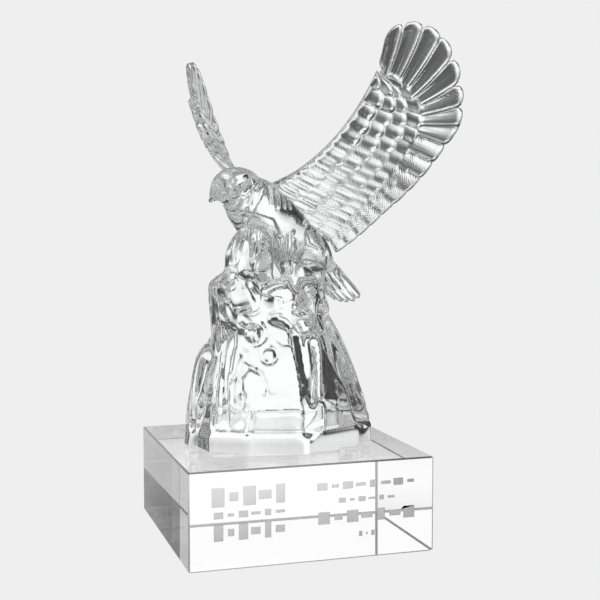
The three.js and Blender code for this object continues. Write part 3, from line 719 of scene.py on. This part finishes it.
def surface(thing):
    """The points of a mesh in millimetres, and their normals."""
    vertices = thing.data.vertices
    return rows_of(vertices, "co", 3) / MM, rows_of(vertices, "normal", 3)


def move(thing, points):
    """Puts the points of a mesh at new places, in millimetres."""
    thing.data.vertices.foreach_set("co", (points * MM).ravel())
    thing.data.update()


def press(thing, lines, rings=()):
    """Moves each point of a mesh along its normal by the bells exp(-(d / w)^2) of all lines and rings.

    A line is a depth, a half width and the points it runs through; a ring is a depth, a half width, a
    radius and a middle. A negative depth is a raised ridge.
    """
    points, normals = surface(thing)
    sink = np.zeros(len(points))
    for depth, width, path in lines:
        path = np.array(path, dtype=float)
        near = np.full(len(points), np.inf)
        for a, b in zip(path[:-1], path[1:]):
            share = np.clip((points - a) @ (b - a) / ((b - a) @ (b - a)), 0.0, 1.0)
            near = np.minimum(near, np.linalg.norm(points - a - share[:, None] * (b - a), axis=1))
        sink += depth * np.exp(-((near / width) ** 2))
    for depth, width, radius, middle in rings:
        near = np.linalg.norm(points - np.array(middle), axis=1) - radius
        sink += depth * np.exp(-((near / width) ** 2))
    move(thing, points - sink[:, None] * normals)


# Lines and rings pressed into the bird, in its own frame: on the head the mouth, jaw and eye, then ruffled
# feathers at the neck, on the shoulder, under the wing, round the breast and down the thigh.
BIRD_LINES = (
    (0.8, 0.8, ((39, 0.5, -6), (37.9, 2.2, -5), (35, 4.5, -3), (32.5, 6.2, -2))),
    (0.5, 1.0, ((19.5, 9.2, 3.6), (19, 11.5, -3), (21, 11, -9))),
    (1.3, 1.1, ((8, 10.5, 1.5), (10, 14.3, -4.8), (10.5, 15.5, -9.5))),
    (1.4, 1.0, ((5, 12, 2), (6, 15.3, -4.8), (7, 17, -10))),
    (1.4, 1.0, ((1.5, 15, 2), (1.5, 16, -5), (2.5, 18, -10.5))),
    (1.3, 1.0, ((-2, 14.5, -2), (-2.4, 16, -7), (-1.8, 17.3, -11))),
    (1.4, 1.1, ((-14.6, 15, -25.2), (-17, 14, -31.9), (-23.8, 13.5, -34.2))),
    (1.4, 1.1, ((-20, 14, -24), (-23, 13.5, -29), (-28, 12, -33))),
    (1.2, 1.1, ((-26, 12.5, -25), (-29, 12, -31), (-31, 11, -37))),
    (0.8, 1.2, ((25, 7, -14), (18, 12, -15), (10, 16, -18), (5, 15.5, -26))),
    (0.6, 1.0, ((24, 3, -20), (17, 9, -22), (10, 12, -26))),
    (1.0, 1.0, ((9, 14, -22), (5.2, 13.4, -30.5), (1, 12, -40))),
    (1.0, 1.0, ((-4, 16.5, -24), (-5, 15.4, -33.8), (-4.5, 13.5, -43))),
    (0.8, 0.8, ((2.5, 15.5, -25), (1.3, 15.5, -31.6), (-1, 13.5, -42))),
    (0.8, 0.8, ((-1.5, 16, -25), (-2, 15.8, -33), (-2.8, 14.2, -42))),
)
BIRD_RINGS = ((0.6, 0.6, 2.0, (30.3, 6.8, 3.0)), (0.7, 0.8, 3.4, (28.6, 7.8, -4)))


def both_sides(marks):
    """The same marks on the bird's left and right, their places turned from its frame to the trophy's."""
    doubled = []
    for *size, places in marks:
        f, l, u = np.array(places, dtype=float).T
        doubled += [(*size, in_bird(f, side * l, u)) for side in (1, -1)]
    return doubled


# Plumage shows on the body alone: how far forward, down and back it reaches, and over how much it fades.
PLUME_FRONT = (21.0, 6.0)
PLUME_FOOT = (-46.0, 6.0)
PLUME_BACK = (-44.0, 8.0)
PLUMED = 2


def dress(thing):
    """Gives the bird its plumage finish, its strength eased to none on the head, the shins and the tail."""
    mesh = thing.data
    mesh.polygons.foreach_set("material_index", np.full(len(mesh.polygons), PLUMED, dtype=np.int32))
    away = surface(thing)[0] - SHOULDER
    f, u = away @ FORWARD, away @ UP
    strength = smooth_step((PLUME_FRONT[0] - f) / PLUME_FRONT[1])
    strength = strength * smooth_step((u - PLUME_FOOT[0]) / PLUME_FOOT[1])
    strength = strength * smooth_step((f - PLUME_BACK[0]) / PLUME_BACK[1])
    lay_pattern(mesh, np.stack([0.0 * strength, strength], axis=-1))


BIRD_VOXEL = 0.8
BIRD_SOFTENING = 20

bird_parts = [limb("trunk", BODY_STOPS, 64, 56), limb("head", HEAD_STOPS, 48, 48), tail()]
for side in (1, -1):
    bird_parts.append(limb("thigh", LEG_STOPS, 40, 42, side, thigh_streaks))
    bird_parts.append(limb("brow", BROW_STOPS, 16, 20, side))
    bird_parts += [toe(side, heading) for heading in TOE_HEADINGS]
bird = combine(bird_parts[0], bird_parts[1:])
remesh(bird, BIRD_VOXEL)
soften(bird, BIRD_SOFTENING)
press(bird, both_sides(BIRD_LINES), both_sides(BIRD_RINGS))
dress(bird)

# The rock
# A crag with a clear flat front between fluted corners, narrowing to a hollow, a shelf, a knob and the
# spur under the bird's chest. It was poured with the bird and fire polished, so its edges are soft.
BLOCK_HEIGHT = 50.0
ROCK_FOOT = np.array([
    (-49.3, 14.6), (-43.1, -19.8), (-26.1, -29.5), (4, -39), (37.8, -22.3),
    (50.3, -11.6), (48, 22), (28, 42), (-8, 46), (-42, 38),
])
ROCK_SINK = 6.0
ROCK_LEVELS = np.array([
    (BLOCK_HEIGHT - ROCK_SINK, 1.0, 0), (59, 1.0, 0), (60, 0.97, 0), (61, 0.985, 0), (74, 0.93, 0),
    (88, 0.855, -1), (101, 0.76, -1.5), (112, 0.66, -2), (122, 0.605, -5), (131, 0.575, -7),
])
# Each flute: foot edge, share along it, depth, width in edge steps, and the heights it runs between.
ROCK_FLUTES = (
    (1, 0.25, 1.8, 0.12, 62, 132), (1, 0.75, 1.6, 0.12, 62, 132), (3, 0.25, 7.0, 0.15, 72, 132),
    (4, 0.25, 3.5, 0.2, 62, 118), (5, 0.5, 2.0, 0.2, 62, 125), (6, 0.5, 1.5, 0.3, 62, 132),
    (7, 0.5, 1.5, 0.3, 66, 132), (8, 0.5, 1.5, 0.3, 62, 132), (9, 0.5, 2.5, 0.3, 66, 132),
)
EDGE_SAMPLES = 24
FLUTE_STARTS = 5.0
FLUTE_ENDS = 6.0


def rock_block():
    """The foot polygon scaled and shifted by height, its radius cut by the flutes.

    A flute is a bell of depth d and width w centred on its place along an edge, eased in and out.
    """
    edges = len(ROCK_FOOT)
    place = np.arange(edges * EDGE_SAMPLES) / EDGE_SAMPLES
    k, x = place.astype(int), (place % 1.0)[:, None]
    foot = ROCK_FOOT[k] * (1 - x) + ROCK_FOOT[(k + 1) % edges] * x
    z = np.concatenate([np.linspace(BLOCK_HEIGHT - ROCK_SINK, 62, 16), np.linspace(63, 131, 60)])
    scale = np.interp(z, ROCK_LEVELS[:, 0], ROCK_LEVELS[:, 1])
    shift = np.interp(z, ROCK_LEVELS[:, 0], ROCK_LEVELS[:, 2])
    reach = np.linalg.norm(foot, axis=1)
    cut = np.zeros((len(z), len(place)))
    for edge, share, depth, width, low, high in ROCK_FLUTES:
        apart = np.abs(place - (edge + share))
        apart = np.minimum(apart, edges - apart)
        bell = np.exp(-((apart / width) ** 2))
        ease = np.clip((z - low) / FLUTE_STARTS, 0, 1) * np.clip((high + FLUTE_ENDS - z) / FLUTE_ENDS, 0, 1)
        cut += depth * ease[:, None] * bell[None, :]
    radius = (reach[None, :] - cut) / reach[None, :]
    xy = foot[None, :, :] * (radius * scale[:, None])[..., None]
    xy[..., 0] += shift[:, None]
    rings = np.concatenate([xy, np.broadcast_to(z[:, None, None], xy.shape[:2] + (1,))], axis=-1)
    return tube_solid("rock", rings)


ROUGH_THREES = 0.11
ROUGH_FIVES = 0.05
ROUGH_TWIST = 0.09


def crag(name, stops, turn_start, around=48, count=40):
    """Rough ovals up a line of stops (x, y, z, half length, half width): the radius is waved by the
    cosines of three and five times the turn."""
    rows = eased(np.array(stops, dtype=float), count)
    turn = turn_start + np.linspace(0, 2 * math.pi, around, endpoint=False)[None, :]
    z = rows[:, 2:3]
    rough = 1 + ROUGH_THREES * np.cos(3 * turn + z * ROUGH_TWIST) + ROUGH_FIVES * np.cos(5 * turn + 1)
    x = rows[:, 0:1] + rows[:, 3:4] * rough * np.cos(turn)
    y = rows[:, 1:2] + rows[:, 4:5] * rough * np.sin(turn)
    return tube_solid(name, np.stack([x, y, z + 0 * x], axis=-1))


LEFT_BUTTRESS = ((-42, 6, 44, 9, 11), (-41.5, 5, 74, 8, 10), (-39.5, 4, 93, 6.5, 8),
                 (-38.5, 3.5, 101, 4.5, 5.5), (-37.5, 3.5, 105, 2, 2.5))
LEFT_SHELF = ((-23, 2, 100, 13, 22), (-23.5, -1, 118, 12.8, 21), (-25.5, -3, 134, 13, 18),
              (-25, -3, 139, 12.5, 16), (-22, -3, 144, 9, 11))
CHEST_SPUR = ((-21, -4, 128, 13, 15), (-21.5, -5, 142, 10.5, 12), (-20.8, -5, 154, 10, 11),
              (-18.3, -5, 162, 8.5, 10), (-14, -4, 169, 6, 8))
RIGHT_KNOB = ((11, -10, 112, 12, 17), (11, -10, 125, 11, 17), (11.5, -9, 137, 10, 15),
              (12, -8, 145, 8.5, 11), (12, -7, 150, 5, 6))
FOOT_LEDGE = ((0, 6, 118, 26, 24), (-1, 5, 128, 23.5, 22), (-2, 4, 134, 20.5, 20), (-2, 4, 137, 15, 16))
FRONT_BOWL = ((-15, -35, 111, 10, 6), (-14, -34, 115, 21, 12), (-13, -33, 120, 24, 15.5),
              (-12, -32, 126, 20, 12), (-11, -31, 131, 10, 6))

# Lines pressed into the rock, and rings left by bubbles.
ROCK_LINES = (
    (2.0, 1.5, ((-23.9, -22, 93.2), (-27.5, -21.2, 89), (-27.2, -22.1, 82.7), (-25.4, -23.6, 77.5),
                (-26.1, -24.1, 71.2), (-23.4, -28.1, 70.7), (-24.6, -28.7, 65), (-25.7, -28.6, 60.2))),
    (1.6, 1.4, ((-31.1, -20.2, 87.9), (-25, -20.2, 96.2), (-20.3, -25.1, 93.5))),
    (1.5, 1.4, ((-19.8, -25.2, 93.5), (-17, -26.7, 90.9), (-15.2, -28.3, 85.7), (-16.4, -28.6, 81.5))),
    (1.4, 1.3, ((-7.6, -25.1, 109), (-5.3, -26.4, 106.9), (-0.7, -27.9, 106.9))),
    (4.5, 3.2, ((0.9, -22.6, 116), (2.5, -26.4, 106.1), (4.9, -29.2, 87.6), (5.1, -33.9, 72.3),
                (5, -37.7, 61.2))),
    (3.5, 2.5, ((9, -27.1, 118.3), (12.2, -22.4, 105.3), (12.6, -24.7, 92.1), (11.5, -26.4, 76.1),
                (7.6, -36.5, 62))),
    (-2.5, 1.8, ((14.8, -24.6, 127), (16.1, -20.8, 107.8), (15, -26, 86.8), (13, -33.7, 62.2))),
    (6.0, 4.0, ((20.5, -17.8, 113.9), (27.3, -18.3, 98.4), (35.3, -15.7, 81.7), (43.3, -16.5, 62))),
    (2.0, 2.5, ((27, -12, 114), (36, -11, 96.9), (42, -10, 80), (46, -9, 66))),
    (1.2, 1.6, ((-35.4, -8, 117.5), (-38.5, -14.9, 87.5), (-41.4, -19.5, 63))),
    (1.2, 1.2, ((-33.7, -11.3, 116.4), (-36.3, -17.2, 87.7), (-37.1, -20, 63))),
    (1.2, 1.2, ((-31.2, -14.8, 116.7), (-33.1, -17.5, 87.7), (-34.2, -23.4, 63))),
    (2.2, 1.5, ((-29, -9, 163), (-31, -10, 150), (-33, -10, 132))),
    (2.2, 1.5, ((-25, -13, 165), (-27, -15, 150), (-28, -17, 130))),
    (2.2, 1.5, ((-20, -15, 165), (-21, -17, 148), (-21, -20, 130))),
    (1.5, 1.5, ((-29.1, -17, 114.2), (-29.3, -15.5, 103.3), (-30.9, -17.5, 91.8))),
    (3.0, 2.5, ((-41.6, -2.3, 94.1), (-45.1, -2.6, 80.7), (-49, 0.7, 60))),
)
ROCK_RINGS = ((1.7, 1.4, 6.2, (-19.6, -20.5, 112.1)), (1.8, 1.4, 4.2, (-12.8, -25.6, 101.2)))
# The groove round the top of the foot, where the mould's parts met: its depth, half width and height.
FOOT_GROOVE = (1.0, 0.9, 60.5)
# Waves over the broken top of the rock: turns a millimetre along x, y and z of each, their depth, the
# height and the place from front to back where they start, and over how much they fade in. SWELL is how
# far the whole rock stands out from its rough form.
SWIRLS = ((0.3, 0.08, 0.14), (-0.14, 0.26, 0.24), (0.08, -0.3, 0.28))
SWIRL_DEPTH = 1.0
SWIRL_FOOT = 112.0
SWIRL_BACK = -4.0
SWIRL_FADE = 12.0
SWELL = 0.7


def swirl(thing):
    """Swells the rock and ruffles its broken top, along each normal, by the sum of the sines of SWIRLS."""
    points, normals = surface(thing)
    wave = sum(np.sin(points @ np.array(turn) + start) for start, turn in enumerate(SWIRLS))
    high = smooth_step((points[:, 2] - SWIRL_FOOT) / SWIRL_FADE)
    front = smooth_step((SWIRL_BACK - points[:, 1]) / SWIRL_FADE)
    move(thing, points + (SWELL - SWIRL_DEPTH * wave * high * front)[:, None] * normals)


def cutting_box(low, high):
    """A box between two corners."""
    ends = np.array([low, high], dtype=float)
    corners = np.array([[x, y, z] for x in ends[:, 0] for y in ends[:, 1] for z in ends[:, 2]])
    faces = np.array([[0, 1, 3, 2], [4, 6, 7, 5], [0, 4, 5, 1], [2, 3, 7, 6], [0, 2, 6, 4], [1, 5, 7, 3]])
    return solid("cutter", corners, [faces])


ROCK_VOXEL = 1.15
ROCK_SOFTENING = 45
# The casting stands this deep in a seat in the block, so that the glue fills no gap.
GLUE_DEPTH = 0.05
CUT_REACH = 90.0
CUT_TOP = 200.0

rock = rock_block()
combine(rock, [
    crag("buttress", LEFT_BUTTRESS, 0.0), crag("shelf", LEFT_SHELF, 0.2), crag("knob", RIGHT_KNOB, 0.1),
    crag("ledge", FOOT_LEDGE, 0.3),
])
combine(rock, [crag("bowl", FRONT_BOWL, 0.0)], "DIFFERENCE")
combine(rock, [crag("spur", CHEST_SPUR, 0.1)])
remesh(rock, ROCK_VOXEL)
soften(rock, ROCK_SOFTENING)
groove = [(*corner, FOOT_GROOVE[2]) for corner in (*ROCK_FOOT, ROCK_FOOT[0])]
press(rock, (*ROCK_LINES, (*FOOT_GROOVE[:2], groove)), ROCK_RINGS)
swirl(rock)
foot = BLOCK_HEIGHT - GLUE_DEPTH
combine(rock, [cutting_box((-CUT_REACH, -CUT_REACH, foot), (CUT_REACH, CUT_REACH, CUT_TOP))], "INTERSECT")

# The casting
# Rock, bird and wings are one pour of clear glass, so they are joined to one closed skin here. Its smooth
# parts are fire polished; barbs and plumage are a fine relief that the mould leaves in the surface.
GLASS_TINT = (0.99, 0.995, 1.0)
GLASS_IOR = 1.5
BARB_DEPTH = 0.00006
BARB_SWAY_SCALE = 220.0
BARB_SWAY = 2.5
PLUME_SCALE = 380.0
PLUME_DEPTH = 0.00008
PLUME_TWIST = 1.5


def glass(name, roughness, tint, relief=None):
    """Clear glass: a plain see-through shader, with an optional fine relief of its surface."""
    material = bpy.data.materials.new(name)
    material.use_nodes = True
    tree = material.node_tree
    shader = tree.nodes["Principled BSDF"]
    shader.inputs["Base Color"].default_value = (*tint, 1.0)
    shader.inputs["Roughness"].default_value = roughness
    shader.inputs["IOR"].default_value = GLASS_IOR
    shader.inputs["Transmission Weight"].default_value = 1.0
    if relief:
        height, depth = relief(tree)
        bump = tree.nodes.new("ShaderNodeBump")
        bump.inputs["Distance"].default_value = depth
        tree.links.new(height, bump.inputs["Height"])
        tree.links.new(bump.outputs["Normal"], shader.inputs["Normal"])
    return material


def clouds(tree, scale, twist=0.0):
    """Soft noise in the glass's own place."""
    noise = tree.nodes.new("ShaderNodeTexNoise")
    noise.inputs["Scale"].default_value = scale
    noise.inputs["Detail"].default_value = 1.0
    noise.inputs["Distortion"].default_value = twist
    tree.links.new(tree.nodes.new("ShaderNodeTexCoord").outputs["Object"], noise.inputs["Vector"])
    return noise.outputs[0]


def pattern_of(tree):
    """The two numbers of the pattern that lies on the surface."""
    place = tree.nodes.new("ShaderNodeUVMap")
    place.uv_map = "pattern"
    return parted(tree, place.outputs[0])[:2]


def barbs(tree):
    """A sine of the pattern's first number, in whole turns, times its second; noise sways and fades it."""
    phase, strength = pattern_of(tree)
    noise = clouds(tree, BARB_SWAY_SCALE)
    swayed = worked(tree, "MULTIPLY_ADD", noise, BARB_SWAY, phase)
    wave = worked(tree, "SINE", worked(tree, "MULTIPLY", swayed, 2 * math.pi))
    return worked(tree, "MULTIPLY", worked(tree, "MULTIPLY", wave, strength), noise), BARB_DEPTH


def plumes(tree):
    """Cloudy noise a couple of millimetres across, times the pattern's second number."""
    noise = clouds(tree, PLUME_SCALE, PLUME_TWIST)
    return worked(tree, "MULTIPLY", noise, pattern_of(tree)[1]), PLUME_DEPTH


# Clear glue takes the same slot on both faces that meet at the joint, so that light goes straight through.
glue = bare("clear_glue", "ShaderNodeBsdfTransparent")[0]
GLUED = 3
FLAT_DOWN = -0.99


def put_finishes(thing, finishes):
    """Fills the first material slots, and drops those that the joins and cuts added behind them."""
    slots = thing.data.materials
    while len(slots) > len(finishes):
        slots.pop(index=len(slots) - 1)
    for place, finish in enumerate(finishes):
        slots[place] = finish


glasses = (glass("cast_glass", 0.0, GLASS_TINT), glass("feather_glass", 0.0, GLASS_TINT, barbs),
           glass("plumage_glass", 0.0, GLASS_TINT, plumes), glue)
for finish in glasses:
    rock.data.materials.append(finish)
casting = combine(rock, [bird, wing(1), wing(-1)])
casting.name = "cast_eagle"
casting.data.name = "cast_eagle"
faces = casting.data.polygons
facing_down = rows_of(faces, "normal", 3)[:, 2] < FLAT_DOWN
seated = facing_down & (rows_of(faces, "center", 3)[:, 2] < (foot + GLUE_DEPTH / 2) * MM)
finishes = rows_of(faces, "material_index", 1, np.int32)[:, 0]
faces.foreach_set("material_index", np.where(seated, GLUED, finishes).astype(np.int32))
faces.foreach_set("use_smooth", ~seated)
put_finishes(casting, glasses)
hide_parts("eagle_on_rock")
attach(casting, "root")

# The block
# A square slab of optical glass, sawn and polished, with small ground edges. Its front face carries a
# sand-blasted panel: rows of shallow matt strokes.
BLOCK_SIDE = 130.0
BLOCK_EDGE = 0.8


def block_ring(z, inset):
    """The eight corners of a square with small bevels, at height z."""
    outer = BLOCK_SIDE / 2 - inset
    corner = outer - BLOCK_EDGE
    half = [(outer, -corner), (outer, corner), (corner, outer), (-corner, outer)]
    return [(x, y, z) for x, y in half] + [(-x, -y, z) for x, y in half]


block = tube_solid("polished_block", np.array([
    block_ring(0, BLOCK_EDGE), block_ring(BLOCK_EDGE, 0),
    block_ring(BLOCK_HEIGHT - BLOCK_EDGE, 0), block_ring(BLOCK_HEIGHT, BLOCK_EDGE),
]))
block_finishes = (glass("clear_block", 0.0, (1.0, 1.0, 1.0)), glass("matt_stroke", 0.55, (0.9, 0.9, 0.9)),
                  glass("ground_glass", 0.5, (0.8, 0.8, 0.8)), glue)
for finish in block_finishes:
    block.data.materials.append(finish)

# Each row of strokes: the middle of the row, its height on the face, its width, the height of its tall
# strokes, and how many there are.
STROKE_ROWS = (
    (-34, 36.6, 40, 9.5, 5), (-34, 27.6, 38, 3.2, 6), (-34, 18.8, 38, 8.0, 6), (28, 38.2, 55, 3.6, 8),
    (28, 30.6, 32, 2.4, 6), (28, 22.0, 54, 6.2, 7), (28, 12.6, 10, 2.6, 3),
)
STROKE_DEPTH = 0.5
STROKE_GAP = 1.6
LOW_STROKE = 0.45
NARROWED = 0.25

strokes = []
for middle, z, width, height, count in STROKE_ROWS:
    pitch = width / count
    for k in range(count):
        wide = pitch - STROKE_GAP - (NARROWED * pitch if k % 3 == 1 else 0.0)
        tall = LOW_STROKE * height if k % 2 else height
        x = middle - width / 2 + (k + 0.5) * pitch
        strokes.append(cutting_box(
            (x - wide / 2, -BLOCK_SIDE / 2 - STROKE_DEPTH, z - tall / 2),
            (x + wide / 2, -BLOCK_SIDE / 2 + STROKE_DEPTH, z + tall / 2),
        ))
seat = bpy.data.objects.new("seat", casting.data.copy())
scene.collection.objects.link(seat)
combine(block, [*strokes, seat], "DIFFERENCE")


def trim(thing):
    """The mesh in triangles, without strays of the cuts: those with an edge that no other one shares."""
    thing.modifiers.new("triangles", "TRIANGULATE")
    bake(thing)
    mesh = thing.data
    corners = rows_of(mesh.loops, "vertex_index", 1, np.int32).reshape(-1, 3)
    edges = np.sort(corners[:, [[0, 1], [1, 2], [2, 0]]], axis=2).reshape(-1, 2)
    place, count = np.unique(edges, axis=0, return_inverse=True, return_counts=True)[1:]
    stray = (count[place.ravel()].reshape(-1, 3) == 1).any(axis=1)
    work = bmesh.new()
    work.from_mesh(mesh)
    work.faces.ensure_lookup_table()
    bmesh.ops.delete(work, geom=[work.faces[k] for k in np.flatnonzero(stray)], context="FACES")
    work.to_mesh(mesh)
    work.free()


trim(casting)
trim(block)

# The finishes of the block's faces, by their place and slant: clear glass, matt strokes inside the panel,
# ground edges, and glue on the seat's floor.
CLEAR = 0
MATT = 1
GROUND = 2
PANEL_REACH = 60.0
PANEL_LOW = 5.0
PANEL_HIGH = 45.0
FACE_SKIN = 0.01
SLANTED = 0.95

faces = block.data.polygons
x, y, z = rows_of(faces, "center", 3).T / MM
behind_front = y + BLOCK_SIDE / 2
in_panel = (np.abs(x) < PANEL_REACH) & (z > PANEL_LOW) & (z < PANEL_HIGH)
sunk = (behind_front > FACE_SKIN) & (behind_front < 1.1 * STROKE_DEPTH)
on_seat = (z > BLOCK_HEIGHT - 1.5 * GLUE_DEPTH) & (z < BLOCK_HEIGHT - 0.5 * GLUE_DEPTH)
slanted = np.abs(rows_of(faces, "normal", 3)).max(axis=1) < SLANTED
finishes = np.select([sunk & in_panel, on_seat, slanted], [MATT, GLUED, GROUND], CLEAR)
faces.foreach_set("material_index", finishes.astype(np.int32))
put_finishes(block, block_finishes)
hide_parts("base_block")
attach(block, "root")
